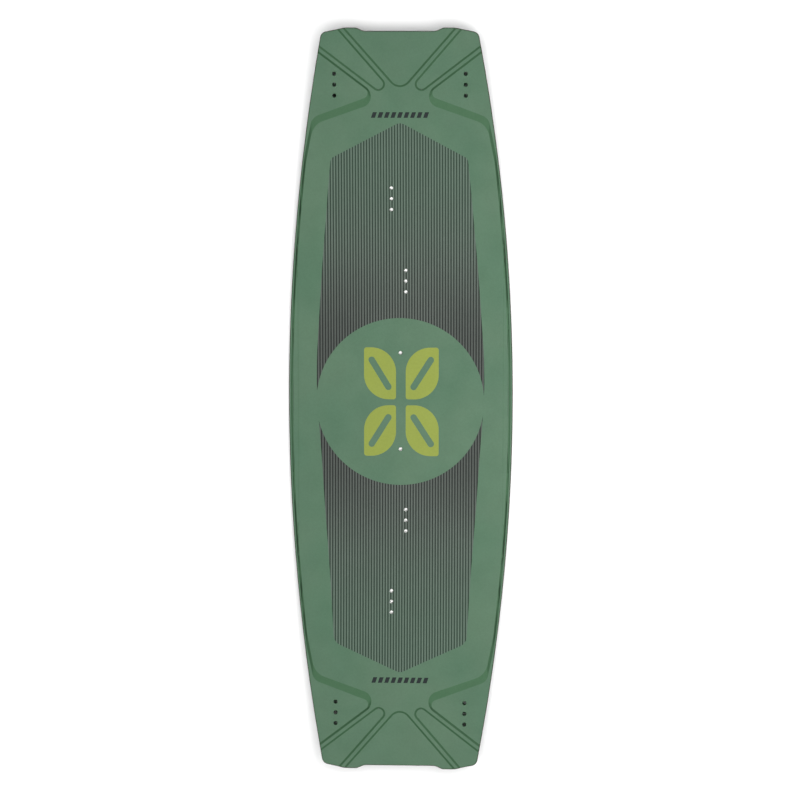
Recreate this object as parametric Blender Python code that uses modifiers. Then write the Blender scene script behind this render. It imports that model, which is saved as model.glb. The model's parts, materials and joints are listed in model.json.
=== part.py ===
"""A twin-tip kiteboard: a bonded wood-core board with empty footpad, handle and fin holes.

The board lies deck up. X is its width, Y its length and Z its thickness, in metres, and the
origin is under the middle of the base, at the lowest point. Every layer is cut from one plan:
straight stations across the board, and the contour lines of the moulded deck. Between two
stations the board is straight, so each layer stays parallel to the next all over.
"""

import math

import bmesh
import bpy
from mathutils import Vector
from mathutils.bvhtree import BVHTree
from mathutils.geometry import delaunay_2d_cdt

# Overall size
HALF_LENGTH = 0.690
HALF_WIDTH = 0.2083
SIDE_RADIUS = 3.632
ROCKER = 0.038
STATION_PITCH = 0.077
STATION_COUNT = 10

# Thickness of the board at its raised middle field, and how far the edges lie below that field
THICKNESS_MIDDLE = 0.0115
THICKNESS_TIP = 0.0080
STEP_MIDDLE = 0.0030
STEP_TIP = 0.0020
POCKET_DEPTH = 0.0016

# Layers, and the bond line between neighbours
SKIN = 0.0008
FIBRE = 0.0005
GAP = 0.0003
COVER = SKIN + FIBRE + 2 * GAP
SKIN_INSET = 0.0010
RAIL_WIDTH = 0.0070
RAIL_JOINT = 0.640

# Tip outline: a shallow notch between two flat crests, then a rounded corner (x, y, radius)
NOTCH = (0.0665, 0.6835, 0.022)
CRESTS = ((0.0797, 0.6895, 0.012), (0.1005, 0.6896, 0.035))
CORNER = (0.1441, 0.6807, 0.013)

# Ledge along each side, and the slope that climbs from it to the field
LEDGE_MIDDLE = 0.0038
LEDGE_END = 0.0027
LEDGE_END_Y = 0.450
SLOPE_WIDTH = 0.0049

# Corner platforms: the foot and the top of the slope turn at three corners each (x, y, radius)
FOOT_CORNERS = ((0.0515, 0.5682, 0.008), (0.1623, 0.5265, 0.020), (0.1754, 0.4645, 0.150))
TOP_CORNERS = ((0.0288, 0.5565, 0.0222), (0.1599, 0.5112, 0.036), (0.1741, 0.4400, 0.150))
PLATFORM_ANGLE = math.radians(37.1)

# Round-ended pockets at the tips: arc centre, radius, and the angles of both straight edges
WALL_WIDTH = 0.0042
NOTCH_POCKET = ((0.0, 0.6038), 0.0208, math.radians(131.4), math.radians(48.6))
SIDE_POCKET = ((0.0397, 0.5866), 0.0106, math.radians(48.9), math.radians(37.2))
POCKET_REACH = 0.25

# Holes: (x, y) of the middle hole of each group, and the pitch of its three holes along Y
PITCH = 0.020
PAD_OUTER = (-0.0163, 0.3760)
PAD_INNER = (0.0100, 0.2235)
HANDLE_Y = 0.0900
FIN = (0.1207, 0.5856)
PAD_HOLE_RADIUS = 0.0034
FIN_HOLE_RADIUS = 0.0036
HOLE_SIDES = 8

# Blocks let into the core, which hold the inserts and the fin bolts (width, length)
PAD_BLOCK = (0.034, 0.056)
HANDLE_BLOCK = (0.026, 0.026)
FIN_BLOCK = (0.024, 0.056)
BLOCK_CHAMFER = 0.004

# Threaded insert: a flange under the block, and a blind barrel up through it
INSERT_LIFT = 0.0002
INSERT_HEIGHT = 0.0058
FLANGE_RADIUS = 0.0070
FLANGE_THICKNESS = 0.0010
BARREL_RADIUS = 0.0050
BORE_RADIUS = 0.0031
INSERT_FLOOR = 0.0010
BLOCK_LIFT = 0.0022
BARREL_HOLE_RADIUS = 0.0054
TURNED_STEPS = 12

ARC_STEP = math.radians(22)
TOUCH = 1e-6
MARGIN_X = 0.26
MERGE = 0.00005
FLAT = math.radians(0.05)

DECK_GREEN = (0.118, 0.212, 0.138)
BASE_GREEN = (0.060, 0.105, 0.072)
FIBRE_BLACK = (0.020, 0.021, 0.022)
WOOD = (0.520, 0.380, 0.220)
BLOCK_BROWN = (0.200, 0.130, 0.080)
PLASTIC_BLACK = (0.012, 0.012, 0.012)
RAIL_BROWN = (0.060, 0.050, 0.045)
STEEL = (0.780, 0.780, 0.760)


def clear_scene():
    for item in list(bpy.data.objects):
        bpy.data.objects.remove(item, do_unlink=True)


def material(name, colour, roughness, metallic=0.0):
    made = bpy.data.materials.new(name)
    made.use_nodes = True
    shader = made.node_tree.nodes["Principled BSDF"]
    shader.inputs["Base Color"].default_value = (*colour, 1.0)
    shader.inputs["Roughness"].default_value = roughness
    shader.inputs["Metallic"].default_value = metallic
    made.diffuse_color = (*colour, 1.0)
    return made


# Heights


def faceted(curve, y):
    """curve(y), read along the straight line between the stations on both sides of y."""
    low = (math.floor(y / STATION_PITCH + 0.5) - 0.5) * STATION_PITCH
    share = (y - low) / STATION_PITCH
    return curve(low) * (1 - share) + curve(low + STATION_PITCH) * share


def along(middle, tip):
    """A size that changes from the middle to the tips with the square of the distance."""
    return lambda y: middle + (tip - middle) * (y / HALF_LENGTH) ** 2


def base_height(y):
    bend = along(0.0, ROCKER)
    return faceted(bend, y) - bend(STATION_PITCH / 2)


def above_base(offset):
    return lambda x, y: base_height(y) + offset


def inside(loop, x, y):
    """Whether a point lies in a closed loop or on its edge."""
    within = False
    point = Vector((x, y))
    for start, end in zip(loop, loop[1:] + loop[:1]):
        span = end - start
        share = max(0.0, min(1.0, (point - start).dot(span) / span.length_squared))
        if (start + span * share - point).length < TOUCH:
            return True
        if (start.y > y) != (end.y > y):
            within ^= x < start.x + span.x * (y - start.y) / span.y
    return within


def contour_height(x, y):
    """The deck's height on a contour line, or where it is flat across: not on a slope."""
    field = base_height(y) + faceted(along(THICKNESS_MIDDLE, THICKNESS_TIP), y)
    if inside(LEDGE_FOOT, abs(x), abs(y)):
        return field - faceted(along(STEP_MIDDLE, STEP_TIP), y)
    if any(inside(foot, abs(x), abs(y)) for foot in POCKET_FEET):
        return field - POCKET_DEPTH
    return field


# Plan outlines


def half_width(y):
    return HALF_WIDTH - SIDE_RADIUS + math.sqrt(SIDE_RADIUS**2 - y * y)


def arc(centre, radius, start, turn):
    """Points along an arc, from the angle start through the angle turn."""
    steps = max(1, math.ceil(abs(turn) / ARC_STEP))
    angles = [start + turn * i / steps for i in range(steps + 1)]
    return [Vector(centre) + radius * Vector((math.cos(a), math.sin(a))) for a in angles]


def corner_turn(before, here, after):
    """The directions into and out of a corner, and the angle between them."""
    into = (Vector(here[:2]) - Vector(before[:2])).normalized()
    out = (Vector(after[:2]) - Vector(here[:2])).normalized()
    return into, out, math.atan2(into.x * out.y - into.y * out.x, into.dot(out))


def rounded(corners):
    """The inner corners of a line of (x, y, radius), each replaced by its arc."""
    points = []
    for before, here, after in zip(corners, corners[1:], corners[2:]):
        into, _, turn = corner_turn(before, here, after)
        radius = here[2]
        start = Vector(here[:2]) - into * radius * math.tan(abs(turn) / 2)
        side = math.copysign(1.0, turn)
        centre = start + Vector((-into.y, into.x)) * radius * side
        heading = math.atan2(into.y, into.x) - side * math.pi / 2
        points += arc(centre, radius, heading, turn)
    return points


def moved_in(corners, inset):
    """The same corners, with every edge moved to the right of its direction by inset."""
    moved = []
    for before, here, after in zip(corners, corners[1:], corners[2:]):
        into, out, turn = corner_turn(before, here, after)
        normals = Vector((into.y, -into.x)) + Vector((out.y, -out.x))
        corner = Vector(here[:2]) + normals * inset / (1 + into.dot(out))
        moved.append((*corner, here[2] + math.copysign(inset, turn)))
    first = (-moved[0][0], moved[0][1], 0.0)
    last = (corners[-1][0] - inset, corners[-1][1], 0.0)
    return [first, *moved, last]


def flipped_x(points):
    return [Vector((-p.x, p.y)) for p in points]


def flipped_y(points):
    return [Vector((p.x, -p.y)) for p in points]


def side_stations(limit):
    """The stations from the tip end towards the middle, up to a distance from the middle."""
    return [y for y in reversed(STATIONS) if 0 < y < limit]


def outline(inset):
    """The board's outline, or a line inside it at an even distance."""
    ends = side_stations(HALF_LENGTH)
    tip = [(-NOTCH[0], NOTCH[1], 0.0), NOTCH, *CRESTS, CORNER]
    tip.append((half_width(ends[0]), ends[0], 0.0))
    quarter = rounded(moved_in(tip, inset))
    quarter += [Vector((half_width(y) - inset, y)) for y in ends]
    right = quarter + flipped_y(quarter[::-1])
    return right + flipped_x(right[::-1])


def ledge_line(corners, extra):
    """The foot or the top of the slope round one side: along the rail and round both platforms."""
    share = [(y / LEDGE_END_Y) ** 2 for y in side_stations(LEDGE_END_Y)]
    insets = [LEDGE_MIDDLE + (LEDGE_END - LEDGE_MIDDLE) * s + extra for s in share]
    rail = [Vector((half_width(y) - d, y)) for y, d in zip(side_stations(LEDGE_END_Y), insets)]
    first = Vector(corners[0][:2])
    out = first + POCKET_REACH * Vector((math.cos(PLATFORM_ANGLE), math.sin(PLATFORM_ANGLE)))
    turns = rounded([(*out, 0.0), *corners, (*rail[0], 0.0)])
    quarter = [out, *turns, *rail]
    return quarter + flipped_y(quarter[::-1])


def pocket_line(pocket, wall):
    """A round-ended pocket that widens outwards, past the tip."""
    centre, radius, first, last = pocket
    end = arc(centre, radius + wall, first + math.pi / 2, last - first + math.pi)
    start_edge = POCKET_REACH * Vector((math.cos(first), math.sin(first)))
    last_edge = POCKET_REACH * Vector((math.cos(last), math.sin(last)))
    return [end[0] + start_edge, *end, end[-1] + last_edge]


def hole(x, y, radius):
    """A flat-sided ring that clears a circle of this radius."""
    corner = radius / math.cos(math.pi / HOLE_SIDES)
    angles = [(i + 0.5) * 2 * math.pi / HOLE_SIDES for i in range(HOLE_SIDES)]
    return [Vector((x + corner * math.cos(a), y + corner * math.sin(a))) for a in angles]


def plate(centre, size, margin):
    """A rectangle with cut corners, grown by a margin."""
    half_x = size[0] / 2 + margin
    half_y = size[1] / 2 + margin
    cut_x = half_x - BLOCK_CHAMFER
    cut_y = half_y - BLOCK_CHAMFER
    quarter = [Vector((cut_x, half_y)), Vector((half_x, cut_y))]
    right = quarter + flipped_y(quarter[::-1])
    loop = right + flipped_x(right[::-1])
    return [Vector(centre) + point for point in loop]


STATIONS = [(i + 0.5) * STATION_PITCH for i in range(-STATION_COUNT, STATION_COUNT)]
LEDGE_FOOT = ledge_line(FOOT_CORNERS, 0.0)
LEDGE_TOP = ledge_line(TOP_CORNERS, SLOPE_WIDTH)
POCKET_FEET = [pocket_line(p, -WALL_WIDTH / 2) for p in (NOTCH_POCKET, SIDE_POCKET)]
POCKET_TOPS = [pocket_line(p, WALL_WIDTH / 2) for p in (NOTCH_POCKET, SIDE_POCKET)]


def contour_lines():
    """Every foot and top line of the deck, at both ends and on both sides."""
    notch, side = zip(POCKET_FEET, POCKET_TOPS)
    lines = []
    for line in (LEDGE_FOOT, LEDGE_TOP, *side):
        lines += [line, flipped_x(line)]
    for line in side:
        lines += [flipped_y(line), flipped_y(flipped_x(line))]
    for line in notch:
        lines += [line, flipped_y(line)]
    return lines


# Surfaces and solids


def closed(loop):
    """The edges of a closed loop, as pairs of points."""
    return list(zip(loop, loop[1:] + loop[:1]))


def across(y):
    """A straight cut across the board."""
    return (Vector((-MARGIN_X, y)), Vector((MARGIN_X, y)))


def triangulate(edges, keep):
    """Triangles that have all of the edges, where keep(x, y) is true at their middle."""
    points = [point for edge in edges for point in edge]
    pairs = [(i, i + 1) for i in range(0, len(points), 2)]
    corners, _, faces = delaunay_2d_cdt(points, pairs, [], 0, TOUCH)[:3]
    kept = []
    for face in faces:
        middle = sum((corners[i] for i in face), Vector((0.0, 0.0))) / len(face)
        if keep(middle.x, middle.y):
            kept.append(face)
    return corners, kept


def surface(edges, keep, height):
    """An open surface of triangles, at height(x, y)."""
    corners, faces = triangulate(edges, keep)
    bm = bmesh.new()
    made = {}
    for index in sorted({i for face in faces for i in face}):
        x, y = corners[index]
        made[index] = bm.verts.new((x, y, height(x, y)))
    for face in faces:
        bm.faces.new([made[i] for i in face])
    return bm


def merge_flat(bm):
    bmesh.ops.dissolve_limit(bm, angle_limit=FLAT, verts=bm.verts[:], edges=bm.edges[:])


def deck_form():
    """The deck's shape beyond the outline too: a tree to read heights from, and its creases."""
    edges = [edge for line in contour_lines() for edge in closed(line)]
    edges += [across(y) for y in STATIONS]
    bm = surface(edges, lambda x, y: True, contour_height)
    merge_flat(bm)
    creases = [tuple(vert.co.xy for vert in edge.verts) for edge in bm.edges]
    tree = BVHTree.FromBMesh(bm)
    bm.free()
    return tree, creases


def below_deck(offset):
    def height(x, y):
        hit = DECK_TREE.ray_cast(Vector((x, y, 1.0)), Vector((0.0, 0.0, -1.0)))[0]
        return hit.z - offset

    return height


def layer(name, loops, creases, keep, low, high, finish):
    """A solid between two heights: its plan is filled, extruded and set to its lower height."""
    edges = [edge for loop in loops for edge in closed(loop)] + creases
    bm = surface(edges, keep, high)
    under = bmesh.ops.extrude_face_region(bm, geom=bm.faces[:], use_keep_orig=True)["geom"]
    for vert in under:
        if isinstance(vert, bmesh.types.BMVert):
            vert.co.z = low(vert.co.x, vert.co.y)
    bmesh.ops.recalc_face_normals(bm, faces=bm.faces[:])
    merge_flat(bm)
    bmesh.ops.triangulate(bm, faces=bm.faces[:])
    return from_bmesh(name, bm, finish)


def from_bmesh(name, bm, finish):
    mesh = bpy.data.meshes.new(name)
    bm.to_mesh(mesh)
    bm.free()
    mesh.materials.append(finish)
    made = bpy.data.objects.new(name, mesh)
    BOARD.objects.link(made)
    made.parent = ROOT
    return made


def turned(name, profile, finish):
    """A turned piece: the profile runs up its bore and down its outer side."""
    bm = bmesh.new()
    points = [bm.verts.new((radius, 0.0, height)) for radius, height in profile]
    for start, end in zip(points, points[1:]):
        bm.edges.new((start, end))
    made = from_bmesh(name, bm, finish)
    spin = made.modifiers.new("turn", "SCREW")
    spin.steps = TURNED_STEPS
    spin.render_steps = TURNED_STEPS
    spin.use_merge_vertices = True
    spin.merge_threshold = MERGE
    return made


# Positions of the holes


def ends():
    """The board's two ends: a name and the sign of Y."""
    return (("front", 1), ("rear", -1))


def sides():
    return (("left", -1), ("right", 1))


def group(x, y):
    """The three holes of a group, in line with the board."""
    return [(x, y + step * PITCH) for step in (-1, 0, 1)]


def pad_groups():
    """name and centre of each footpad group."""
    for end, sign in ends():
        yield f"{end}_outer", (PAD_OUTER[0], sign * PAD_OUTER[1])
        yield f"{end}_inner", (PAD_INNER[0], sign * PAD_INNER[1])


def fin_groups():
    for end, along_y in ends():
        for side, along_x in sides():
            yield f"{end}_{side}", (along_x * FIN[0], along_y * FIN[1])


def insert_holes():
    """name and place of every threaded insert."""
    for name, centre in pad_groups():
        for number, place in enumerate(group(*centre), start=1):
            yield f"pad_insert_{name}_{number}", place
    for end, sign in ends():
        yield f"handle_insert_{end}", (0.0, sign * HANDLE_Y)


def fin_holes():
    return [place for _, centre in fin_groups() for place in group(*centre)]


def blocks():
    """name, centre, size and holes of every block in the core."""
    for name, centre in pad_groups():
        yield f"pad_block_{name}", centre, PAD_BLOCK, group(*centre)
    for end, sign in ends():
        centre = (0.0, sign * HANDLE_Y)
        yield f"handle_block_{end}", centre, HANDLE_BLOCK, [centre]
    for name, centre in fin_groups():
        yield f"fin_block_{name}", centre, FIN_BLOCK, group(*centre)


# Pieces


def region(edge, holes):
    """Whether a point is within the edge loop and outside every hole."""
    return lambda x, y: inside(edge, x, y) and not any(inside(ring, x, y) for ring in holes)


def build_skins():
    edge = outline(SKIN_INSET)
    fin_rings = [hole(x, y, FIN_HOLE_RADIUS) for x, y in fin_holes()]
    pad_rings = [hole(x, y, PAD_HOLE_RADIUS) for _, (x, y) in insert_holes()]
    deck_rings = fin_rings + pad_rings
    layer(
        "deck_sheet",
        [edge, *deck_rings],
        DECK_CREASES,
        region(edge, deck_rings),
        below_deck(SKIN),
        below_deck(0.0),
        material("deck_green", DECK_GREEN, 0.62),
    )
    layer(
        "base_sheet",
        [edge, *fin_rings],
        BASE_CREASES,
        region(edge, fin_rings),
        above_base(0.0),
        above_base(SKIN),
        material("base_green", BASE_GREEN, 0.35),
    )
    inner = outline(RAIL_WIDTH + GAP)
    black = material("fibre_black", FIBRE_BLACK, 0.45)
    layer(
        "laminate_upper",
        [inner, *deck_rings],
        DECK_CREASES,
        region(inner, deck_rings),
        below_deck(COVER - GAP),
        below_deck(SKIN + GAP),
        black,
    )
    layer(
        "laminate_lower",
        [inner, *fin_rings],
        BASE_CREASES,
        region(inner, fin_rings),
        above_base(SKIN + GAP),
        above_base(COVER - GAP),
        black,
    )


def build_core():
    edge = outline(RAIL_WIDTH + GAP)
    sockets = [plate(centre, size, GAP) for _, centre, size, _ in blocks()]
    layer(
        "core",
        [edge, *sockets],
        DECK_CREASES,
        region(edge, sockets),
        above_base(COVER),
        below_deck(COVER),
        material("wood", WOOD, 0.7),
    )


def build_blocks():
    fibre = material("block_fibre", BLOCK_BROWN, 0.6)
    plastic = material("block_plastic", PLASTIC_BLACK, 0.5)
    for name, centre, size, places in blocks():
        fin = name.startswith("fin")
        edge = plate(centre, size, 0.0)
        rings = [hole(x, y, FIN_HOLE_RADIUS if fin else BARREL_HOLE_RADIUS) for x, y in places]
        layer(
            name,
            [edge, *rings],
            DECK_CREASES,
            region(edge, rings),
            above_base(COVER if fin else COVER + BLOCK_LIFT),
            below_deck(COVER),
            plastic if fin else fibre,
        )


def build_rails():
    outer = outline(0.0)
    inner = outline(RAIL_WIDTH)
    finish = material("rail_plastic", RAIL_BROWN, 0.5)
    joints = [across(sign * (RAIL_JOINT + step * GAP / 2)) for sign in (-1, 1) for step in (-1, 1)]

    def rail(name, belongs):
        layer(
            name,
            [outer, inner],
            DECK_CREASES + joints,
            lambda x, y: belongs(x, y) and inside(outer, x, y) and not inside(inner, x, y),
            above_base(SKIN + GAP),
            below_deck(SKIN + GAP),
            finish,
        )

    for side, sign in sides():
        rail(f"rail_{side}", lambda x, y: x * sign > 0 and abs(y) < RAIL_JOINT - GAP / 2)
    for end, sign in ends():
        rail(f"rail_tip_{end}", lambda x, y: y * sign > RAIL_JOINT + GAP / 2)


def build_inserts():
    profile = (
        (0.0, INSERT_FLOOR),
        (BORE_RADIUS, INSERT_FLOOR),
        (BORE_RADIUS, INSERT_HEIGHT),
        (BARREL_RADIUS, INSERT_HEIGHT),
        (BARREL_RADIUS, FLANGE_THICKNESS),
        (FLANGE_RADIUS, FLANGE_THICKNESS),
        (FLANGE_RADIUS, 0.0),
        (0.0, 0.0),
    )
    finish = material("steel", STEEL, 0.3, 1.0)
    for name, (x, y) in insert_holes():
        piece = turned(name, profile, finish)
        piece.location = (x, y, base_height(y) + COVER + INSERT_LIFT)


clear_scene()
BOARD = bpy.data.collections.new("kiteboard")
bpy.context.scene.collection.children.link(BOARD)
ROOT = bpy.data.objects.new("kiteboard_frame", None)
BOARD.objects.link(ROOT)
DECK_TREE, DECK_CREASES = deck_form()
BASE_CREASES = [across(y) for y in STATIONS]
build_skins()
build_core()
build_blocks()
build_rails()
build_inserts()
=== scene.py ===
# A twin-tip kiteboard that lies deck up: smooth moulded skins, rounded rails, threaded inserts
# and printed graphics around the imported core. Metres, X across, Y along, Z up. A corner is given
# by its x, its y and the radius that rounds it.

import json
import math

import bmesh
import bpy
import numpy as np
from mathutils import Euler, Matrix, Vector
from mathutils.bvhtree import BVHTree
from mathutils.geometry import delaunay_2d_cdt


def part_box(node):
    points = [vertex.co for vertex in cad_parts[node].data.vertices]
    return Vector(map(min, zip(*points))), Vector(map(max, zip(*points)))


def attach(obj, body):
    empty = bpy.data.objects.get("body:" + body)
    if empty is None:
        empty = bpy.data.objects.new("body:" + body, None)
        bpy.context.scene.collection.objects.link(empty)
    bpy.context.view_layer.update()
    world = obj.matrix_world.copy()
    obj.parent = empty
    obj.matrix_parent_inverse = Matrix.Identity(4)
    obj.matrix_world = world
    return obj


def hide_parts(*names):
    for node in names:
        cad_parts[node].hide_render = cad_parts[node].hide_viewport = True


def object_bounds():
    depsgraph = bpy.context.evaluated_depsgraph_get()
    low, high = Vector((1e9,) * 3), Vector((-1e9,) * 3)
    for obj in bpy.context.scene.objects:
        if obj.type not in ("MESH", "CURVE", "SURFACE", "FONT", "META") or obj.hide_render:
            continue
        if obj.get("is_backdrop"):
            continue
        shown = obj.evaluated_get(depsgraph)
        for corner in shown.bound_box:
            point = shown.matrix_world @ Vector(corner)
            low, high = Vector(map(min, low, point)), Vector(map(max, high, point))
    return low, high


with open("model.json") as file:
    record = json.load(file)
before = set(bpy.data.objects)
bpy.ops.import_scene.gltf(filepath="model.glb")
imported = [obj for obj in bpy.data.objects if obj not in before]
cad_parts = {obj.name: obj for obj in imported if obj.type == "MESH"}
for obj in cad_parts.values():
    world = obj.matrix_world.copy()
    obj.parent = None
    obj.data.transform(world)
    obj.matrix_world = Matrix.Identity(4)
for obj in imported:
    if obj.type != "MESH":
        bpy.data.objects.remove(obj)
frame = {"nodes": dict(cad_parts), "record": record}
CAD_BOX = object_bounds()

# Plan of the board: the sides are arcs, and rows run across at an even pitch
HALF_LENGTH = 0.690
HALF_WIDTH = 0.2083
SIDE_RADIUS = 3.632
ROW_PITCH = 0.01925
FIRST_ROW = 0.6545
NOTCH = (0.0665, 0.6835, 0.022)
CRESTS = ((0.0797, 0.6895, 0.012), (0.1005, 0.6896, 0.035))
CORNER = (0.1441, 0.6807, 0.013)

# Height of the base, thickness at the raised field, and depth of the skins
ROCKER = 0.038
THICKNESS_MIDDLE = 0.0115
THICKNESS_TIP = 0.0080
SKIN = 0.0008
RAIL_DEPTH = 0.0011

# Moulded relief: how far the side ledges and the tip pockets lie below the field, and the slopes
# between them. A pocket has a round end (centre, radius) and the directions of its two sides.
STEP_MIDDLE = 0.0030
STEP_TIP = 0.0020
POCKET_DEPTH = 0.0016
LEDGE_MIDDLE = 0.0038
LEDGE_END = 0.0027
LEDGE_END_Y = 0.450
LEDGE_ROW = 0.4235
SLOPE_WIDTH = 0.0049
FOOT_CORNERS = ((0.0515, 0.5682, 0.008), (0.1623, 0.5265, 0.020), (0.1754, 0.4645, 0.150))
TOP_CORNERS = ((0.0288, 0.5565, 0.0222), (0.1599, 0.5112, 0.036), (0.1741, 0.4400, 0.150))
PLATFORM_ANGLE = math.radians(37.1)
WALL_WIDTH = 0.0042
NOTCH_POCKET = ((0.0, 0.6038), 0.0208, math.radians(131.4), math.radians(48.6))
SIDE_POCKET = ((0.0397, 0.5866), 0.0106, math.radians(48.9), math.radians(37.2))
REACH = 0.20  # of the lines that run on past a tip
SLOPE_LEVELS = (-0.2, 0.0, 0.05, 0.10, 0.15, 0.5, 0.85, 0.90, 0.95, 1.0, 1.2)
SLOPE_ROUND = 0.15

# Edges: each ring of a rounded rim has a distance in from the edge and a drop
SKIN_INSET = 0.0010
RIM = ((0.0, 0.00025), (0.00010, 0.00008), (0.00035, 0.0), (0.00090, 0.0))
RAIL_WIDTH = 0.0070
RAIL_LIP = 0.00096
RAIL_ROUND = 0.0009
RAIL_SINK = 0.00005
RAIL_ROUND_STEPS = 5
RAIL_JOINT = 0.640
RAIL_GAP = 0.0003
RAIL_SPACING = 0.0025

# Holes
PAD_HOLE_RADIUS = 0.0034
FIN_HOLE_RADIUS = 0.0036
HOLE_SIDES = 28

# Threaded insert: radii, heights and the thread
FLANGE_RADIUS = 0.0070
FLANGE_THICKNESS = 0.0010
BARREL_RADIUS = 0.0050
THREAD_ROOT = 0.0030
THREAD_CREST = 0.0025
LEAD = 0.0005
THREAD_PITCH = 0.0010
THREADS = 4
BORE_FLOOR = 0.0010
BREAK = 0.0003  # of its outer edges
TURNED_STEPS = 32

# Print on the deck: a film that stands proud of the surface and is let into it
FILM = 0.00010
FILM_ROOT = 0.00005
GAP_FILM = 0.00005  # between the stripes
STRIPE_PITCH = 0.0051818
STRIPE_MIDDLES = (0.00035, 0.00035 + STRIPE_PITCH / 2)  # front and rear
STRIPE_WIDTH = 0.0025
PANEL_SIDE = (
    (0.1266, 0.4503, 0.012),
    (0.1323, 0.3900, 0.400),
    (0.1451, 0.2400, 0.800),
    (0.1553, 0.0850, 0.400),
    (0.1560, 0.0300, 0.200),
    (0.1530, -0.0300, 0.200),
    (0.1472, -0.1050, 0.600),
    (0.1411, -0.2000, 0.600),
    (0.1315, -0.3260, 0.600),
    (0.1240, -0.4533, 0.020),
)
PANEL_LEAN = -0.0040  # sideways for each metre of the front half
PANEL_FRONT = (0.0, 0.5170, 0.015)
PANEL_REAR = (0.0, -0.5100, 0.015)
DISC_CENTRE = (-0.0007, -0.0012)
DISC_RADIUS = 0.156
DISC_SIDES = 144
LEAF_COLUMNS = ((0.0095, 0.0710), (-0.0680, -0.0085))
LEAF_ROWS = ((0.0030, 0.1000), (-0.1030, -0.0080))
LEAF_ROUND = 0.046
LEAF_POINT = 0.005
VEIN_WIDTH = 0.012
VEIN_SHARE = 0.52
MARK_PLACES = (0.5302, -0.5236)
MARK_COUNT = 9
MARK_PITCH = 0.0120
MARK_SIZE = (0.0075, 0.0104)
MARK_LEAN = 0.0036

# Meshes
ARC_STEP = math.radians(6)
TOUCH = 1e-6  # how near counts as on a line
MARGIN_X = 0.24  # how far the cuts across the board reach
ABOVE = 1.0  # where the rays start
SHARP = math.radians(46)

# What the camera sees of a colour: how much the light multiplies it, and the sheen on top
LIGHT_LEVEL = 1.48
SHEEN_LEVEL = 0.020

# Shade painted on the deck's slopes, darker the further the skin tilts from the raised field:
# how level the skin is where each painted shade begins and where it is full, and how much of
# the colour it leaves. The tilt of the raised field itself grows along the board.
FIELD_CLIMB = 2 * (ROCKER + THICKNESS_TIP - THICKNESS_MIDDLE) / HALF_LENGTH**2
# Where the painted shade's darker green begins and is full on the slopes
PAINTED_SLOPE_TINT = (0.998, 0.9925)
PAINTED_SLOPE_SHADES = ((0.955, 0.925, 0.76), (0.885, 0.825, 0.45))

# Ink of the panel: it fades from the disc to the peaks, and is deepest at the sides of the disc
FADE_Y = (0.10, 0.46)
DEEP_Y = (0.10, 0.30)
DEEP_X = (0.02, 0.12)
DEEP_MIDDLE = 0.3
DEEP_SHADE = 0.28

# Surfaces
PRINT_SHEEN = 0.15
NOISE_SPAN = (0.3, 0.7)  # the part of a noise that is spread over a range
VARY_SPAN = (0.25, 0.75)  # the same, where it only varies a tone
GRAIN_SIZE = 0.0012
GRAIN_STRENGTH = 0.5
STAVE_WIDTH = 0.028
WEAVE = 1200.0  # radians of its waves in a metre
MIX_SOCKETS = {"FLOAT": (2, 3, 0), "RGBA": (6, 7, 2)}  # of a mix node: its two inputs, its output

# Studio: a sky that is brightest overhead, with an opening round the camera, and a soft key light
SKY_ZENITH = 5.60
SKY_NARROWING = 6.0
SKY_SEEN = 0.95
OPENING_MIDDLE = (0.058, 0.112)
OPENING_REACH = (0.160, 0.235)
OPENING_ROUND = 0.5
OPENING_EDGE = (0.9, 1.1)
WHITE = (1.0, 1.0, 1.0, 1.0)
KEY_PLACE = (0.62, 0.04, 0.95)
KEY_SIZE = 0.8
KEY_POWER = 6.4
CAMERA_DISTANCE = 6.0
CAMERA_TURN = (math.radians(-6.427), math.radians(3.307), math.radians(0.007))
CAMERA_AIM = (-0.00173, 0.00050, 0.0)
CAMERA_LENS = 144.96
CAMERA_CLIP = 100.0
FLOOR_SIZE = 12.0
FLOOR_CELLS = 8


# Plan lines


def half_width(y):
    return HALF_WIDTH - SIDE_RADIUS + np.sqrt(SIDE_RADIUS**2 - y * y)


def arc(centre, radius, start, turn):
    """Points along an arc, from the angle start through the angle turn."""
    steps = max(1, math.ceil(abs(turn) / ARC_STEP))
    angles = [start + turn * i / steps for i in range(steps + 1)]
    return [Vector(centre) + radius * Vector((math.cos(a), math.sin(a))) for a in angles]


def corner_turn(before, here, after):
    """The directions into and out of a corner, and the angle between them."""
    into = (Vector(here[:2]) - Vector(before[:2])).normalized()
    out = (Vector(after[:2]) - Vector(here[:2])).normalized()
    return into, out, math.atan2(into.x * out.y - into.y * out.x, into.dot(out))


def rounded(corners):
    """The inner corners of a line of (x, y, radius), each replaced by its arc."""
    points = []
    for before, here, after in zip(corners, corners[1:], corners[2:]):
        into, _, turn = corner_turn(before, here, after)
        radius = here[2]
        start = Vector(here[:2]) - into * radius * math.tan(abs(turn) / 2)
        side = math.copysign(1.0, turn)
        centre = start + Vector((-into.y, into.x)) * radius * side
        heading = math.atan2(into.y, into.x) - side * math.pi / 2
        points += arc(centre, radius, heading, turn)
    return points


def moved_in(corners, inset):
    """The same corners, with every edge moved to the right of its direction by inset."""
    moved = []
    for before, here, after in zip(corners, corners[1:], corners[2:]):
        into, out, turn = corner_turn(before, here, after)
        normals = Vector((into.y, -into.x)) + Vector((out.y, -out.x))
        corner = Vector(here[:2]) + normals * inset / (1 + into.dot(out))
        moved.append((*corner, here[2] + math.copysign(inset, turn)))
    first = (-moved[0][0], moved[0][1], 0.0)
    last = (corners[-1][0] - inset, corners[-1][1], 0.0)
    return [first, *moved, last]


def flipped_x(points):
    return [Vector((-p.x, p.y)) for p in points]


def flipped_y(points):
    return [Vector((p.x, -p.y)) for p in points]


def rows_below(limit):
    """The rows from a distance down to the middle, from the tip end."""
    count = int(HALF_LENGTH / ROW_PITCH)
    return [i * ROW_PITCH for i in range(count, 0, -1) if i * ROW_PITCH < limit - TOUCH]


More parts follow.
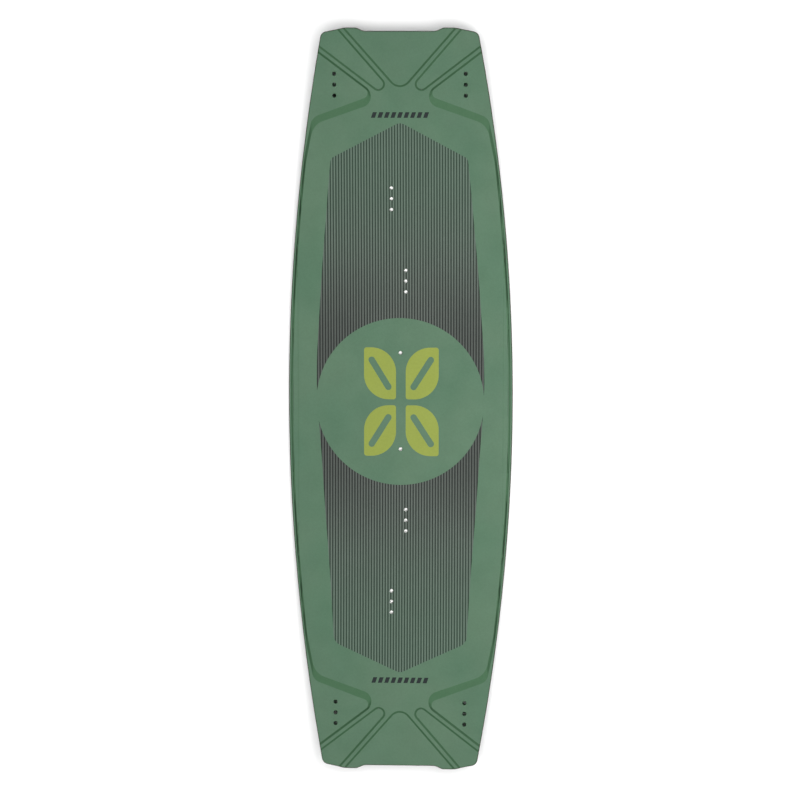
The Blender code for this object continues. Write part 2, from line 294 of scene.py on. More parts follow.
def outline(inset, extra_rows=()):
    """The board's outline, or a line inside it at an even distance."""
    tip = [(-NOTCH[0], NOTCH[1], 0.0), NOTCH, *CRESTS, CORNER]
    tip.append((half_width(FIRST_ROW), FIRST_ROW, 0.0))
    rows = sorted([FIRST_ROW, *rows_below(FIRST_ROW), *extra_rows], reverse=True)
    quarter = rounded(moved_in(tip, inset))
    quarter += [Vector((half_width(y) - inset, y)) for y in rows]
    middle = Vector((half_width(0.0) - inset, 0.0))
    right = [*quarter, middle, *flipped_y(quarter[::-1])]
    return right + flipped_x(right[::-1])


def ledge_line(level):
    """A line up the slope round one side, from its foot (level 0) to its top (level 1)."""
    corners = []
    for foot, top in zip(FOOT_CORNERS, TOP_CORNERS):
        corners.append(tuple(a + (b - a) * level for a, b in zip(foot, top)))
    rail = []
    for y in (LEDGE_ROW, *rows_below(LEDGE_ROW - ROW_PITCH / 2), 0.0):
        inset = LEDGE_MIDDLE + (LEDGE_END - LEDGE_MIDDLE) * (y / LEDGE_END_Y) ** 2
        rail.append(Vector((half_width(y) - inset - level * SLOPE_WIDTH, y)))
    first = Vector(corners[0][:2])
    out = first + REACH * Vector((math.cos(PLATFORM_ANGLE), math.sin(PLATFORM_ANGLE)))
    turns = rounded([(*out, 0.0), *corners, (*rail[0], 0.0)])
    quarter = [out, *turns, *rail]
    return quarter + flipped_y(quarter[-2::-1])


def pocket_line(pocket, level):
    """A line up the wall of a round-ended pocket that widens outwards, past the tip."""
    centre, radius, first, last = pocket
    grown = radius + (level - 0.5) * WALL_WIDTH
    end = arc(centre, grown, first + math.pi / 2, last - first + math.pi)
    start_edge = REACH * Vector((math.cos(first), math.sin(first)))
    last_edge = REACH * Vector((math.cos(last), math.sin(last)))
    return [end[0] + start_edge, *end, end[-1] + last_edge]


def ring(centre, radius, sides=HOLE_SIDES):
    angles = [i * 2 * math.pi / sides for i in range(sides)]
    return [Vector(centre) + radius * Vector((math.cos(a), math.sin(a))) for a in angles]


# Heights


def bend(y):
    """Height of the base above the floor."""
    return ROCKER * (y / HALF_LENGTH) ** 2


def field(y):
    """Height of the raised field of the deck."""
    share = (y / HALF_LENGTH) ** 2
    return bend(y) + THICKNESS_MIDDLE + (THICKNESS_TIP - THICKNESS_MIDDLE) * share


def ledge_drop(y):
    return STEP_MIDDLE + (STEP_TIP - STEP_MIDDLE) * (y / HALF_LENGTH) ** 2


def spans(loop):
    """The starts and ends of a closed loop's edges, as rows of x and y."""
    start = np.array([tuple(p) for p in loop])
    return start.T, np.roll(start, -1, axis=0).T


def candidates(loop, x, y):
    """Which of the points could lie on or in the loop, by its box."""
    (start_x, start_y), _ = spans(loop)
    near_x = (x > start_x.min() - TOUCH) & (x < start_x.max() + TOUCH)
    near_y = (y > start_y.min() - TOUCH) & (y < start_y.max() + TOUCH)
    return np.flatnonzero(near_x & near_y)


def on_line(loop, x, y):
    """Which of the points lie on a closed loop."""
    found = np.zeros(len(x), bool)
    chosen = candidates(loop, x, y)
    (ax, ay), (bx, by) = spans(loop)
    px, py = x[chosen, None], y[chosen, None]
    length = (bx - ax) ** 2 + (by - ay) ** 2
    share = np.clip(((px - ax) * (bx - ax) + (py - ay) * (by - ay)) / length, 0, 1)
    gap = np.hypot(ax + share * (bx - ax) - px, ay + share * (by - ay) - py)
    found[chosen] = gap.min(axis=1, initial=1.0) < TOUCH
    return found


def within(loop, x, y):
    """Which of the points lie inside a closed loop."""
    found = np.zeros(len(x), bool)
    chosen = candidates(loop, x, y)
    (ax, ay), (bx, by) = spans(loop)
    px, py = x[chosen, None], y[chosen, None]
    straddles = (ay > py) != (by > py)
    rise = np.where(by == ay, 1.0, by - ay)
    crossed = straddles & (px < ax + (bx - ax) * (py - ay) / rise)
    found[chosen] = crossed.sum(axis=1) % 2 == 1
    return found


def relief():
    """Each moulded feature: its lines from level to level, and the drop at its foot."""
    yield [ledge_line(level) for level in SLOPE_LEVELS], ledge_drop
    for pocket in (NOTCH_POCKET, SIDE_POCKET):
        yield [pocket_line(pocket, level) for level in SLOPE_LEVELS], lambda y: POCKET_DEPTH


def climbed(level):
    """How much of the climb is done at a level: straight, but rounded at its foot and top."""
    if level > 0.5:
        return 1 - climbed(1 - level)
    if level < SLOPE_ROUND:
        return max(level, 0.0) ** 2 / (2 * SLOPE_ROUND * (1 - SLOPE_ROUND))
    return (level - SLOPE_ROUND / 2) / (1 - SLOPE_ROUND)


def contour_height(x, y):
    """The deck's height at points that lie on the contour lines or on flat ground."""
    height = field(y)
    for lines, drop in relief():
        share = np.full(len(x), 1.0)
        for level, line in reversed(list(zip(SLOPE_LEVELS, lines))):
            reached = within(line, abs(x), abs(y)) | on_line(line, abs(x), abs(y))
            share[reached] = climbed(level)
        height -= drop(y) * (1 - share)
    return height


def contour_lines():
    """Every contour line of the deck, at both ends and on both sides."""
    ledge, notch, side = (lines for lines, _ in relief())
    lines = []
    for line in ledge:
        lines += [line, flipped_x(line)]
    for line in notch:
        lines += [line, flipped_y(line)]
    for line in side:
        lines += [line, flipped_x(line), flipped_y(line), flipped_y(flipped_x(line))]
    return lines


def row_edges():
    """Straight cuts across the board at every row."""
    rows = rows_below(HALF_LENGTH + ROW_PITCH)
    rows.insert(0, rows[0] + ROW_PITCH)
    every = [0.0, *rows, *[-y for y in rows]]
    return [(Vector((-MARGIN_X, y)), Vector((MARGIN_X, y))) for y in every]


def closed(loop):
    """The edges of a closed loop, as pairs of points."""
    return list(zip(loop, loop[1:] + loop[:1]))


def fill(edges, keep):
    """Triangles that have all of the edges, where keep(x, y) is true at their middles."""
    points = [point for edge in edges for point in edge]
    pairs = [(i, i + 1) for i in range(0, len(points), 2)]
    corners, _, faces = delaunay_2d_cdt(points, pairs, [], 0, TOUCH)[:3]
    plan = np.array([tuple(corner) for corner in corners])
    faces = np.array(faces)
    middle = plan[faces].mean(axis=1)
    faces = faces[keep(middle[:, 0], middle[:, 1])]
    used, numbers = np.unique(faces, return_inverse=True)
    return plan[used, 0], plan[used, 1], numbers.reshape(-1, 3)


def deck_form():
    """The deck's shape, also past the outline, as a tree to read heights from."""
    x, y, faces = fill(CREASES, lambda x, y: np.full(len(x), True))
    corners = np.stack([x, y, contour_height(x, y)], axis=1)
    return BVHTree.FromPolygons(corners.tolist(), faces.tolist())


def deck_height(x, y):
    """The deck's height at any points, by rays from above."""
    down = Vector((0.0, 0.0, -1.0))
    return np.array([DECK.ray_cast(Vector((a, b, ABOVE)), down)[0].z for a, b in zip(x, y)])


# Pieces


def piece(name, bm, look, replaced=()):
    """A finished piece of the board, shaded smooth up to its sharp edges."""
    bmesh.ops.recalc_face_normals(bm, faces=bm.faces[:])
    mesh = bpy.data.meshes.new(name)
    bm.to_mesh(mesh)
    bm.free()
    mesh.shade_smooth()
    mesh.set_sharp_from_angle(angle=SHARP)
    mesh.materials.append(look)
    made = bpy.data.objects.new(name, mesh)
    bpy.context.scene.collection.objects.link(made)
    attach(made, "root")
    if replaced:
        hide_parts(*replaced)


def slab(edges, keep, seen, hidden, rims=()):
    """A closed solid between two heights. A rim is a loop and how far it lifts the seen face."""
    x, y, faces = fill(edges, keep)
    top = seen(x, y)
    for loop, rise in rims:
        top[on_line(loop, x, y)] += rise
    bm = bmesh.new()
    upper = [bm.verts.new(corner) for corner in zip(x, y, top)]
    lower = [bm.verts.new(corner) for corner in zip(x, y, hidden(x, y))]
    sides = {}
    for a, b, c in faces.tolist():
        bm.faces.new((upper[a], upper[b], upper[c]))
        bm.faces.new((lower[c], lower[b], lower[a]))
        for start, end in ((a, b), (b, c), (c, a)):
            if not sides.pop((end, start), False):
                sides[start, end] = True
    for start, end in sides:
        bm.faces.new((upper[end], upper[start], lower[start], lower[end]))
    return bm


def skin_plan(holes):
    """The edges, the kept area and the rims of a skin with holes (place, radius)."""
    edge = outline(SKIN_INSET)
    edges = []
    rims = []
    for inset, drop in RIM:
        loops = [outline(SKIN_INSET + inset)]
        loops += [ring(place, radius + inset) for place, radius in holes]
        rims += [(loop, drop) for loop in loops if drop]
        for loop in loops:
            edges += closed(loop)
    mouths = [ring(place, radius) for place, radius in holes]

    def keep(x, y):
        kept = within(edge, x, y)
        for mouth in mouths:
            kept &= ~within(mouth, x, y)
        return kept

    return edges, keep, rims


def hole_places(start):
    """The centres of the record's openings whose names begin with a word."""
    places = []
    for opening in frame["record"]["physics"]["openings"]:
        if opening["name"].startswith(start):
            low, high = opening["box_m"]
            places.append(((low[0] + high[0]) / 2, (low[1] + high[1]) / 2))
    return places


def build_skins():
    pads = [(place, PAD_HOLE_RADIUS) for place in hole_places("pad") + hole_places("handle")]
    fins = [(place, FIN_HOLE_RADIUS) for place in hole_places("fin")]
    edges, keep, rims = skin_plan(pads + fins)
    deck = slab(
        edges + CREASES,
        keep,
        deck_height,
        lambda x, y: deck_height(x, y) - SKIN,
        [(loop, -drop) for loop, drop in rims],
    )
    piece("deck_skin", deck, deck_look(), ["deck_sheet"])
    edges, keep, rims = skin_plan(fins)
    base = slab(
        edges + row_edges(),
        keep,
        lambda x, y: bend(y),
        lambda x, y: bend(y) + SKIN,
        rims,
    )
    piece("base_skin", base, base_look(), ["base_sheet"])


def rail_profile():
    """The rail's section: (inset, share of the height, rise), from its inner foot outwards."""
    turn = [i * math.pi / 2 / RAIL_ROUND_STEPS for i in range(RAIL_ROUND_STEPS + 1)]
    half = [(RAIL_WIDTH, RAIL_DEPTH), (RAIL_LIP, RAIL_DEPTH), (RAIL_LIP, RAIL_SINK)]
    for a in turn:
        rise = RAIL_SINK + RAIL_ROUND * (1 - math.cos(a))
        half.append((RAIL_ROUND * (1 - math.sin(a)), rise))
    under = [(inset, 0.0, rise) for inset, rise in half]
    return under + [(inset, 1.0, -rise) for inset, rise in reversed(half)]


def rail_line(inset):
    """The outline or a line inside it, in short steps: every such line has the same number."""
    cuts = [RAIL_JOINT - RAIL_GAP / 2, RAIL_JOINT + RAIL_GAP / 2]
    points = []
    for outer, inner in zip(closed(outline(0.0, cuts)), closed(outline(inset, cuts))):
        steps = math.ceil((outer[1] - outer[0]).length / RAIL_SPACING)
        points += [inner[0].lerp(inner[1], i / steps) for i in range(steps)]
    return np.array([tuple(p) for p in points])


def build_rails(look):
    """The rail strips: one closed run of sections each, between the joints near the tips."""
    rim = rail_line(RAIL_LIP / 2)
    x, y = rim.T
    top = deck_height(x, y)
    columns = []
    for inset, share, rise in rail_profile():
        line = rail_line(inset)
        base = bend(line[:, 1])
        deck = deck_height(*line.T) if inset > RAIL_LIP else top
        columns.append(np.column_stack([line, base + (deck - base) * share + rise]))
    rings = np.stack(columns, axis=1)
    side = abs(y) < RAIL_JOINT - RAIL_GAP / 4
    parts = {
        "rail_right": side & (x > 0),
        "rail_left": side & (x < 0),
        "rail_tip_front": y > RAIL_JOINT + RAIL_GAP / 4,
        "rail_tip_rear": y < -RAIL_JOINT - RAIL_GAP / 4,
    }
    for name, chosen in parts.items():
        first = int(np.flatnonzero(chosen & ~np.roll(chosen, 1))[0])
        run = np.roll(rings, -first, axis=0)[: chosen.sum()]
        bm = bmesh.new()
        grid = [[bm.verts.new(corner) for corner in section] for section in run]
        for one, two in zip(grid, grid[1:]):
            for i, corner in enumerate(one):
                bm.faces.new((one[i - 1], corner, two[i], two[i - 1]))
        bm.faces.new(grid[0])
        bm.faces.new(grid[-1])
        piece(f"{name}_strip", bm, look, [name])


def insert_profile(height):
    """A threaded bush from the middle of its bore floor, up and over, to the middle below."""
    thread = []
    low = height - LEAD - THREADS * THREAD_PITCH
    for i in range(THREADS):
        thread.append((THREAD_ROOT, low + i * THREAD_PITCH))
        thread.append((THREAD_CREST, low + (i + 0.5) * THREAD_PITCH))
    return [
        (0.0, BORE_FLOOR),
        (THREAD_CREST, BORE_FLOOR),
        *thread,
        (THREAD_ROOT, height - LEAD),
        (THREAD_ROOT + LEAD, height),
        (BARREL_RADIUS - BREAK, height),
        (BARREL_RADIUS, height - BREAK),
        (BARREL_RADIUS, FLANGE_THICKNESS),
        (FLANGE_RADIUS - BREAK / 2, FLANGE_THICKNESS),
        (FLANGE_RADIUS, FLANGE_THICKNESS - BREAK / 2),
        (FLANGE_RADIUS, BREAK / 2),
        (FLANGE_RADIUS - BREAK / 2, 0.0),
        (0.0, 0.0),
    ]


def turned(profile, place):
    """A solid of revolution round an upright axis. A ring on the axis is a single corner."""
    bm = bmesh.new()
    rings = []
    for radius, height in profile:
        count = TURNED_STEPS if radius else 1
        angles = [i * 2 * math.pi / count for i in range(count)]
        spots = [(radius * math.cos(a), radius * math.sin(a), height) for a in angles]
        rings.append([bm.verts.new(place + Vector(spot)) for spot in spots])
    for one, two in zip(rings, rings[1:]):
        for i in range(TURNED_STEPS):
            corners = [one[(i - 1) % len(one)], one[i % len(one)]]
            corners += [two[i % len(two)], two[(i - 1) % len(two)]]
            bm.faces.new(dict.fromkeys(corners))
    return bm


def build_inserts(look):
    for name in sorted(frame["nodes"]):
        if "_insert_" in name:
            low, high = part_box(name)
            foot = Vector(((low.x + high.x) / 2, (low.y + high.y) / 2, low.z))
            bm = turned(insert_profile(high.z - low.z), foot)
            piece(f"{name}_bush", bm, look, [name])


# Printed graphics


def printed(name, loops, keep, look, lines=(), film=FILM, root=-FILM_ROOT):
    """A film of ink on the raised field, where keep(x, y) is true."""
    edges = [edge for loop in loops for edge in closed(loop)] + row_edges() + list(lines)
    bm = slab(edges, keep, lambda x, y: field(y) + film, lambda x, y: field(y) + root)
    piece(name, bm, look)


def panel_outline():
    """The striped panel: a blunt peak at each tip and sides that draw in towards the tips."""
    right = [(x + PANEL_LEAN * max(y, 0), y, radius) for x, y, radius in PANEL_SIDE]
    left = [(-x + PANEL_LEAN * max(y, 0), y, radius) for x, y, radius in reversed(PANEL_SIDE)]
    corners = [PANEL_FRONT, *right, PANEL_REAR, *left]
    return rounded([corners[-1], *corners, corners[0]])


def build_panel():
    """The printed stripes, and the paler film between them."""
    panel = panel_outline()
    disc = ring(DISC_CENTRE, DISC_RADIUS, DISC_SIDES)
    mouths = [ring(place, PAD_HOLE_RADIUS + RIM[2][0]) for place in hole_places("pad")]
    loops = [panel, disc, *mouths]

    def in_panel(x, y):
        kept = within(panel, x, y) & ~within(disc, x, y)
        for mouth in mouths:
            kept &= ~within(mouth, x, y)
        return kept

    def in_stripe(x, y):
        across = x - np.where(y > 0, *STRIPE_MIDDLES)
        off_centre = abs(across - STRIPE_PITCH * np.round(across / STRIPE_PITCH))
        return (off_centre < STRIPE_WIDTH / 2) & in_panel(x, y)

    count = int(max(x for x, _, _ in PANEL_SIDE) / STRIPE_PITCH) + 1
    lines = []
    for (_, peak, _), middle in zip((PANEL_FRONT, PANEL_REAR), STRIPE_MIDDLES):
        for number in range(-count, count + 1):
            for side in (-1, 1):
                x = middle + number * STRIPE_PITCH + side * STRIPE_WIDTH / 2
                lines.append((Vector((x, 0.0)), Vector((x, peak))))
    printed("deck_panel", loops, in_panel, panel_look(), film=GAP_FILM)
    printed("deck_stripes", loops, in_stripe, stripe_look(), lines, root=GAP_FILM / 2)


def leaf(columns, rows):
    """A leaf in a box: two opposite corners are rounded off, the others are its points."""
    inner_x, outer_x = sorted(columns, key=abs)
    inner_y, outer_y = sorted(rows, key=abs)
    corners = [
        (inner_x, inner_y, LEAF_POINT),
        (outer_x, inner_y, LEAF_ROUND),
        (outer_x, outer_y, LEAF_POINT),
        (inner_x, outer_y, LEAF_ROUND),
    ]
    return rounded([corners[-1], *corners, corners[0]])


def vein(columns, rows):
    """The slot along a leaf's middle, between its two points."""
    inner = Vector((min(columns, key=abs), min(rows, key=abs)))
    outer = Vector((max(columns, key=abs), max(rows, key=abs)))
    middle = (inner + outer) / 2
    reach = (outer - inner) * VEIN_SHARE / 2
    heading = math.atan2(reach.y, reach.x)
    far = arc(middle + reach, VEIN_WIDTH / 2, heading - math.pi / 2, math.pi)
    near = arc(middle - reach, VEIN_WIDTH / 2, heading + math.pi / 2, math.pi)
    return far + near


def build_emblem():
    """Four leaves on the disc, each with a slot for its vein."""
    cells = [(columns, rows) for columns in LEAF_COLUMNS for rows in LEAF_ROWS]
    leaves = [leaf(*cell) for cell in cells]
    veins = [vein(*cell) for cell in cells]

    def keep(x, y):
        kept = np.zeros(len(x), bool)
        for edge, slot in zip(leaves, veins):
            kept |= within(edge, x, y) & ~within(slot, x, y)
        return kept

    printed("deck_emblem", leaves + veins, keep, emblem_look())


def build_marks():
    """A row of slanted dashes beyond each peak of the panel, turned to face its own tip."""
    half_x, half_y = MARK_SIZE[0] / 2, MARK_SIZE[1] / 2
    dashes = []
    for number in range(MARK_COUNT):
        x = (number - (MARK_COUNT - 1) / 2) * MARK_PITCH
        for place in MARK_PLACES:
            facing = math.copysign(1.0, place)
            dash = []
            for side, up in ((-1, -1), (1, -1), (1, 1), (-1, 1)):
                corner = Vector((x + side * half_x + up * MARK_LEAN / 2, up * half_y))
                dash.append(corner * facing + Vector((0.0, place)))
            dashes.append(dash)

    def keep(x, y):
        return np.any([within(dash, x, y) for dash in dashes], axis=0)

    printed("deck_marks", dashes, keep, mark_look())


# Materials


def srgb(*levels):
    """The colour of a surface that shows these 8-bit display levels under this scene's light."""
    shown = [((level / 255 + 0.055) / 1.055) ** 2.4 for level in levels]
    return (*[(light - SHEEN_LEVEL) / LIGHT_LEVEL for light in shown], 1.0)


def grey(*levels):
    """Neutral colours of these reflectances."""
    return [(level, level, level, 1.0) for level in levels]


class Nodes:
    """Short calls for the nodes of a material or of the sky."""

    def __init__(self, tree):
        self.tree = tree

    def feed(self, socket, value):
        """Links a socket to another node's output, or sets it to a plain value."""
        if isinstance(value, bpy.types.NodeSocket):
            self.tree.links.new(value, socket)
        else:
            socket.default_value = value

    def add(self, kind, *values, **settings):
        """A new node with these settings. The values go to its first sockets."""
        node = self.tree.nodes.new(f"ShaderNode{kind}")
        for name, setting in settings.items():
            setattr(node, name, setting)
        for socket, value in zip(node.inputs, values):
            self.feed(socket, value)
        return node

    def math(self, operation, *values):
        return self.add("Math", *values, operation=operation).outputs[0]

    def vector(self, operation, *values):
        return self.add("VectorMath", *values, operation=operation).outputs[0]

    def split(self, vector):
        return self.add("SeparateXYZ", vector).outputs

    def ramp(self, value, low, high, to_low=0.0, to_high=1.0):
        """A value mapped smoothly from one range to another, and held past its ends."""
        numbers = (value, low, high, to_low, to_high)
        return self.add("MapRange", *numbers, interpolation_type="SMOOTHSTEP").outputs[0]

    def mix(self, share, one, two, kind="RGBA"):
        """One colour that turns into another, or one number if the kind is FLOAT."""
        first, second, result = MIX_SOCKETS[kind]
        node = self.add("Mix", share, data_type=kind)
        self.feed(node.inputs[first], one)
        self.feed(node.inputs[second], two)
        return node.outputs[result]


class Look(Nodes):
    """A Principled material whose patterns follow the place on the object."""

    def __init__(self, name, roughness, metallic=0.0, specular=0.5):
        self.material = bpy.data.materials.new(name)
        self.material.use_nodes = True
        super().__init__(self.material.node_tree)
        self.surface = self.tree.nodes["Principled BSDF"].inputs
        self.roughness(roughness)
        self.feed(self.surface["Metallic"], metallic)
        self.feed(self.surface["Specular IOR Level"], specular)
        self.place = self.add("TexCoord").outputs["Object"]
        self.x, self.y, _ = self.split(self.place)

    def colour(self, value):
        self.feed(self.surface["Base Color"], value)

    def roughness(self, value):
        self.feed(self.surface["Roughness"], value)

    def bump(self, height, distance, strength):
        node = self.add("Bump")
        self.feed(node.inputs["Strength"], strength)
        self.feed(node.inputs["Distance"], distance)
        self.feed(node.inputs["Height"], height)
        self.feed(self.surface["Normal"], node.outputs[0])

    def grain(self, depth):
        """The fine texture of a moulded or printed skin."""
        self.bump(self.noise(GRAIN_SIZE, detail=3.0), distance=depth, strength=GRAIN_STRENGTH)

    def noise(self, size, detail=2.0, stretch=(1.0, 1.0, 1.0)):
        """Noise from 0 to 1 with features about this size, in metres."""
        node = self.add("TexNoise", self.vector("MULTIPLY", self.place, stretch))
        self.feed(node.inputs["Scale"], 1.0 / size)
        self.feed(node.inputs["Detail"], detail)
        return node.outputs[0]

    def between(self, noise, low=0.0, high=1.0):
        """A noise spread over a range."""
        return self.ramp(noise, *NOISE_SPAN, low, high)

    def vary(self, size, spread, **options):
        """A factor that wanders round 1 by this spread each way."""
        return self.ramp(self.noise(size, **options), *VARY_SPAN, 1 - spread, 1 + spread)

    def scaled(self, colour, *factors):
        """A colour made brighter or darker by each of the factors."""
        for factor in factors:
            node = self.add("VectorMath", operation="SCALE")
            plain = isinstance(colour, tuple)
            self.feed(node.inputs[0], colour[:3] if plain else colour)
            self.feed(node.inputs["Scale"], factor)
            colour = node.outputs[0]
        return colour

    def levelness(self):
        """1 where the surface runs with the raised field, and less where it slopes off it."""
        _, normal_y, normal_z = self.split(self.add("NewGeometry").outputs["Normal"])
        climb = self.math("MULTIPLY", self.y, FIELD_CLIMB)
        lean = self.math("MULTIPLY", climb, normal_y)
        size = self.math("SQRT", self.math("MULTIPLY_ADD", climb, climb, 1.0))
        return self.math("DIVIDE", self.math("SUBTRACT", normal_z, lean), size)

    def fade(self, at_disc, at_peaks):
        """An ink that turns from one colour to another along the panel."""
        along = self.math("ABSOLUTE", self.y)
        aside = self.math("ABSOLUTE", self.x)
        near = self.ramp(along, *DEEP_Y, 1.0, 0.0)
        out = self.ramp(aside, *DEEP_X, DEEP_MIDDLE, 1.0)
        depth = self.math("MULTIPLY_ADD", self.math("MULTIPLY", near, out), -DEEP_SHADE, 1.0)
        return self.scaled(self.mix(self.ramp(along, *FADE_Y), at_disc, at_peaks), depth)


def deck_look():
    """Matte moulded sheet: mottled green, with shade painted on the slopes."""
    look = Look("deck_sheet_matte", 0.6, specular=PRINT_SHEEN)
    level = look.levelness()
    ground = look.mix(look.between(look.noise(0.16)), srgb(95, 127, 104), srgb(102, 131, 108))
    # Painted shade: a darker green where the skin slopes off the raised field, darker still where
    # steepest
    colour = look.mix(look.ramp(level, *PAINTED_SLOPE_TINT), ground, srgb(84, 119, 90))
    for begins, full, left in PAINTED_SLOPE_SHADES:
        colour = look.scaled(colour, look.ramp(level, begins, full, 1.0, left))
    patches = look.vary(0.045, 0.025)
    look.colour(look.scaled(colour, patches, look.vary(0.0035, 0.035, detail=3.0)))
    look.roughness(look.between(look.noise(0.03, detail=4.0), 0.54, 0.66))
    look.grain(0.00006)
    return look.material


def panel_look():
    """Pale ink under the stripes, greyer at the disc than at the peaks."""
    look = Look("panel_ink", 0.58, specular=PRINT_SHEEN)
    colour = look.fade(srgb(107, 114, 109), srgb(108, 127, 114))
    look.colour(look.scaled(colour, look.vary(0.045, 0.025), look.vary(0.0035, 0.03)))
    look.roughness(look.between(look.noise(0.03, detail=4.0), 0.54, 0.66))
    look.grain(0.00006)
    return look.material


def stripe_look():
    """Ink that runs from charcoal at the disc to dark green at the peaks."""
    look = Look("stripe_ink", 0.55, specular=PRINT_SHEEN)
    colour = look.fade(srgb(60, 63, 60), srgb(62, 77, 66))
    look.colour(look.scaled(colour, look.vary(0.03, 0.06), look.vary(0.002, 0.08)))
    look.roughness(look.between(look.noise(0.01), 0.5, 0.6))
    look.grain(0.00005)
    return look.material


def emblem_look():
    """Yellow-green ink, a little uneven."""
    look = Look("emblem_ink", 0.55, specular=PRINT_SHEEN)
    colour = look.mix(look.noise(0.04), srgb(150, 163, 79), srgb(157, 170, 85))
    look.colour(look.scaled(colour, look.vary(0.004, 0.03)))
    look.roughness(look.between(look.noise(0.01), 0.5, 0.6))
    look.grain(0.00005)
    return look.material


def mark_look():
    """Near-black ink."""
    look = Look("mark_ink", 0.55, specular=PRINT_SHEEN)
    look.colour(look.scaled(srgb(52, 58, 58), look.vary(0.004, 0.06)))
    look.grain(0.00005)
    return look.material


def base_look():
    """Satin darker green sheet with fine lengthwise scuffs."""
    look = Look("base_sheet_satin", 0.45, specular=0.25)
    ground = look.mix(look.noise(0.12), srgb(52, 76, 60), srgb(58, 84, 66))
    scuff = look.noise(0.0015, detail=4.0, stretch=(1.0, 0.03, 1.0))
    worn = look.ramp(scuff, 0.62, 0.75, 0.0, 0.25)
    look.colour(look.mix(worn, ground, srgb(110, 132, 116)))
    look.roughness(look.ramp(scuff, 0.35, 0.75, 0.40, 0.55))
    look.bump(scuff, distance=0.00003, strength=0.4)
    return look.material


def rail_look():
    """Dark extruded plastic with faint lengthwise drawing marks."""
    look = Look("rail_plastic", 0.48, specular=0.4)
    streaks = look.noise(0.0011, detail=3.0, stretch=(1.0, 0.06, 1.0))
    colour = look.mix(look.noise(0.05), srgb(66, 57, 51), srgb(82, 71, 64))
    look.colour(look.scaled(colour, look.between(streaks, 0.85, 1.15)))
    look.roughness(look.between(streaks, 0.42, 0.56))
    look.bump(streaks, distance=0.00004, strength=0.5)
    return look.material


def steel_look():
    """Bright turned steel, with tool marks round the axis."""
    look = Look("insert_steel", 0.25, metallic=1.0)
    marks = look.noise(0.0004, stretch=(0.2, 0.2, 3.0))
    look.colour(look.mix(marks, (0.60, 0.60, 0.59, 1.0), (0.70, 0.70, 0.69, 1.0)))
    look.roughness(look.between(marks, 0.38, 0.48))
    return look.material


def wood_look():
    """Lengthwise staves of light wood, each with its own tone and grain."""
    look = Look("core_wood", 0.7, specular=0.3)
    tone = look.add("TexWhiteNoise", noise_dimensions="1D")
    stave = look.math("FLOOR", look.math("DIVIDE", look.x, STAVE_WIDTH))
    look.feed(tone.inputs["W"], stave)
    ground = look.mix(tone.outputs[0], (0.46, 0.32, 0.18, 1.0), (0.60, 0.45, 0.27, 1.0))
    grain = look.noise(0.003, detail=5.0, stretch=(1.0, 0.04, 1.0))
    look.colour(look.scaled(ground, look.between(grain, 0.78, 1.1)))
    look.bump(grain, distance=0.0001, strength=0.4)
    return look.material


def fibre_look():
    """Dark resin over a stitched fibre cloth."""
    look = Look("laminate_fibre", 0.4)
    across = [look.math(operation, look.x, look.y) for operation in ("ADD", "SUBTRACT")]
    waves = [look.math("SINE", look.math("MULTIPLY", line, WEAVE)) for line in across]
    weave = look.math("MULTIPLY_ADD", look.math("MULTIPLY", *waves), 0.5, 0.5)
    look.colour(look.mix(weave, (0.012, 0.013, 0.014, 1.0), (0.030, 0.032, 0.034, 1.0)))
    look.roughness(look.ramp(weave, 0.0, 1.0, 0.35, 0.5))
    return look.material


def block_look():
    """Dense pressed wood fibre."""
    look = Look("block_wood_fibre", 0.65, specular=0.3)
    fibres = look.noise(0.0015, detail=4.0)
    look.colour(look.mix(fibres, (0.15, 0.09, 0.05, 1.0), (0.26, 0.17, 0.11, 1.0)))
    look.bump(fibres, distance=0.0001, strength=0.4)
    return look.material


def plastic_look():
    """Black moulded plastic."""
    look = Look("block_black_plastic", 0.5, specular=0.4)
    look.colour(look.mix(look.noise(0.002), *grey(0.008, 0.014)))
    look.bump(look.noise(0.0008), distance=0.00004, strength=0.4)
    return look.material


def floor_look():
    """Plain pale matte floor."""
    look = Look("studio_floor", 0.8, specular=0.1)
    look.colour(look.mix(look.noise(0.8), *grey(0.93, 0.95)))
    return look.material


def dress_inner_nodes():
    """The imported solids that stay: core, laminates and blocks."""
    looks = {
        "core": wood_look(),
        "laminate": fibre_look(),
        "fin_block": plastic_look(),
        "pad_block": block_look(),
    }
    looks["handle_block"] = looks["pad_block"]
    for name, node in frame["nodes"].items():
        for start, look in looks.items():
            if name.startswith(start):
                node.data.materials.clear()
                node.data.materials.append(look)


# Studio


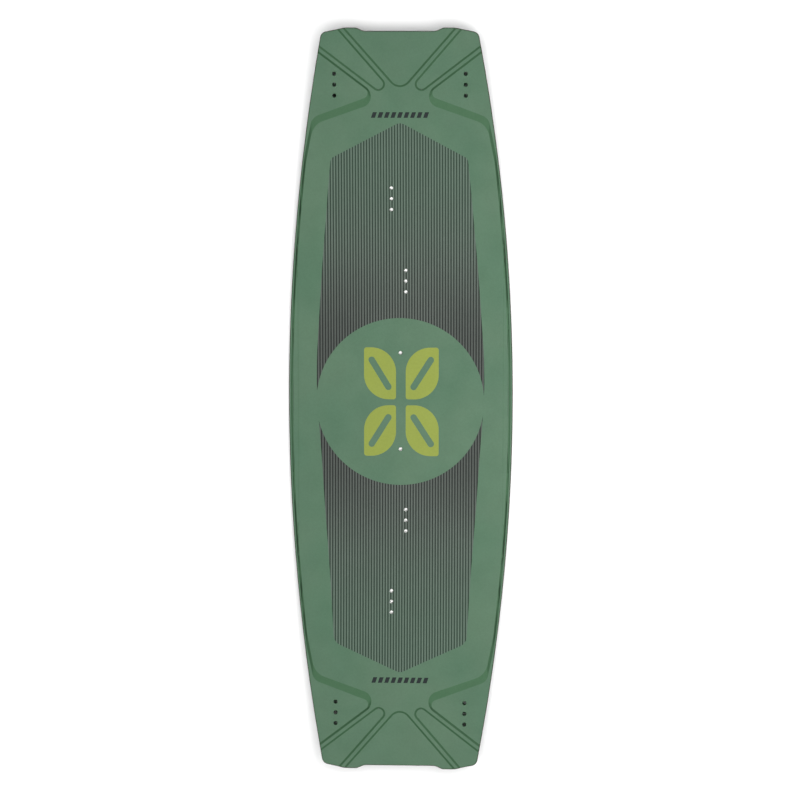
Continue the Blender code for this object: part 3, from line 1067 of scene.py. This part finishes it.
def build_floor():
    bm = bmesh.new()
    bmesh.ops.create_grid(bm, x_segments=FLOOR_CELLS, y_segments=FLOOR_CELLS, size=FLOOR_SIZE / 2)
    mesh = bpy.data.meshes.new("studio_floor")
    bm.to_mesh(mesh)
    bm.free()
    mesh.materials.append(floor_look())
    floor = bpy.data.objects.new("studio_floor", mesh)
    bpy.context.scene.collection.objects.link(floor)
    floor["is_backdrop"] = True


def build_sky():
    """Light that is strongest overhead, but for an opening that the camera looks through."""
    world = bpy.data.worlds.new("studio_sky")
    world.use_nodes = True
    sky = Nodes(world.node_tree)
    heading = sky.add("TexCoord").outputs["Generated"]
    height = sky.math("MAXIMUM", sky.split(heading)[2], 0.0)
    glow = sky.math("MULTIPLY", sky.math("POWER", height, SKY_NARROWING), SKY_ZENITH)
    scale = [1 / reach for reach in OPENING_REACH]
    shift = [-middle / reach for middle, reach in zip(OPENING_MIDDLE, OPENING_REACH)]
    offset = sky.vector("MULTIPLY_ADD", heading, (*scale, 1.0), (*shift, 0.0))
    across, along, _ = sky.split(sky.vector("ABSOLUTE", offset))
    apart = sky.math("SMOOTH_MAX", across, along, OPENING_ROUND)
    lit = sky.math("MULTIPLY", glow, sky.ramp(apart, *OPENING_EDGE))
    to_camera = sky.add("LightPath").outputs["Is Camera Ray"]
    background = sky.tree.nodes["Background"].inputs
    sky.feed(background["Strength"], sky.mix(to_camera, lit, SKY_SEEN, kind="FLOAT"))
    sky.feed(background["Color"], WHITE)
    bpy.context.scene.world = world


def build_key():
    """A square soft light beside the board, aimed at its middle."""
    lamp = bpy.data.lights.new("key_softbox", "AREA")
    lamp.size = KEY_SIZE
    lamp.energy = KEY_POWER
    key = bpy.data.objects.new("key_softbox", lamp)
    key.location = KEY_PLACE
    key.rotation_euler = Vector(KEY_PLACE).to_track_quat("Z", "Y").to_euler()
    bpy.context.scene.collection.objects.link(key)


def build_camera():
    """The camera of the photo: almost straight above, with a long lens."""
    lens = bpy.data.cameras.new("photo_camera")
    lens.lens = CAMERA_LENS
    lens.clip_end = CAMERA_CLIP
    camera = bpy.data.objects.new("photo_camera", lens)
    turn = Euler(CAMERA_TURN)
    camera.rotation_euler = turn
    camera.location = Vector(CAMERA_AIM) + turn.to_matrix() @ Vector((0, 0, CAMERA_DISTANCE))
    bpy.context.scene.collection.objects.link(camera)
    bpy.context.scene.camera = camera


CREASES = [edge for line in contour_lines() for edge in closed(line)] + row_edges()
DECK = deck_form()
build_skins()
build_rails(rail_look())
build_inserts(steel_look())
build_panel()
build_emblem()
build_marks()
dress_inner_nodes()
build_floor()
build_sky()
build_key()
build_camera()
bpy.context.scene.view_settings.view_transform = "Standard"

boxes = {"cad": CAD_BOX, "visual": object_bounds()}
{name: [list(low), list(high)] for name, (low, high) in boxes.items()}
